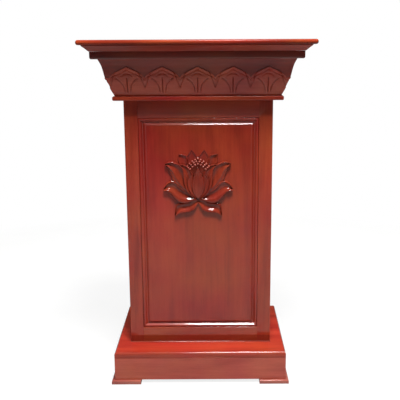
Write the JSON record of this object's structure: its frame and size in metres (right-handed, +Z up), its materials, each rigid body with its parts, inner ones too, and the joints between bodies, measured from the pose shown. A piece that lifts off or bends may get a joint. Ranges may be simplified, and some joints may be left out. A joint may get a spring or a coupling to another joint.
{
  "type": "wooden pulpit",
  "caption": "Free-standing lacquered wooden pulpit with a stepped plinth, a panelled body with a carved lotus, a flared crown with a petal frieze, and a flat top.",
  "frame": {"origin": "on the floor, under the middle of the top slab", "axes": "+Z up; the carved front faces -Y, where the audience is, and the speaker stands at +Y; +X is to the right as seen from the front"},
  "size_m": [0.77, 0.5, 1.2],
  "materials": {
    "lacquered_wood": "red mahogany stain under high-gloss lacquer",
    "panel_wood": "red mahogany stain under high-gloss lacquer, vertical grain",
    "dark_wood": "dark red stain under high-gloss lacquer",
    "bare_wood": "planed, without lacquer",
    "screw_steel": "zinc plated"
  },
  "bodies": {
    "root": {"carcass_floor": "lacquered_wood", "corner_post_left": "lacquered_wood", "corner_post_right": "lacquered_wood", "cove_front": "lacquered_wood", "cove_left": "lacquered_wood", "cove_right": "lacquered_wood", "crown_block_left": "bare_wood", "crown_block_right": "bare_wood", "crown_rear_board": "lacquered_wood", "crown_rear_rail": "lacquered_wood", "fascia_front": "dark_wood", "fascia_left": "dark_wood", "fascia_right": "dark_wood", "floor_cleat_left": "bare_wood", "floor_cleat_right": "bare_wood", "foot_pad_front_left": "dark_wood", "foot_pad_front_right": "dark_wood", "foot_pad_rear_left": "dark_wood", "foot_pad_rear_right": "dark_wood", "foot_screw_front_left": "screw_steel", "foot_screw_front_right": "screw_steel", "foot_screw_rear_left": "screw_steel", "foot_screw_rear_right": "screw_steel", "frieze_front": "lacquered_wood", "frieze_left": "lacquered_wood", "frieze_right": "lacquered_wood", "front_bottom_rail": "lacquered_wood", "front_left_stile": "lacquered_wood", "front_panel": "panel_wood", "front_right_stile": "lacquered_wood", "front_top_rail": "lacquered_wood", "left_side_bottom_rail": "lacquered_wood", "left_side_left_stile": "lacquered_wood", "left_side_panel": "panel_wood", "left_side_right_stile": "lacquered_wood", "left_side_top_rail": "lacquered_wood", "lotus_carving": "panel_wood", "neck_board": "lacquered_wood", "plinth_block_front_left": "bare_wood", "plinth_block_front_right": "bare_wood", "plinth_block_rear_left": "bare_wood", "plinth_block_rear_right": "bare_wood", "plinth_front_board": "lacquered_wood", "plinth_left_board": "lacquered_wood", "plinth_rear_board": "lacquered_wood", "plinth_right_board": "lacquered_wood", "plinth_top_board": "lacquered_wood", "rear_bottom_rail": "lacquered_wood", "rear_top_rail": "lacquered_wood", "right_side_bottom_rail": "lacquered_wood", "right_side_left_stile": "lacquered_wood", "right_side_panel": "panel_wood", "right_side_right_stile": "lacquered_wood", "right_side_top_rail": "lacquered_wood", "shelf": "lacquered_wood", "shelf_cleat_left": "bare_wood", "shelf_cleat_right": "bare_wood", "slab_batten_left": "bare_wood", "slab_batten_right": "bare_wood", "top_slab": "lacquered_wood"}
  },
  "joints": []
}
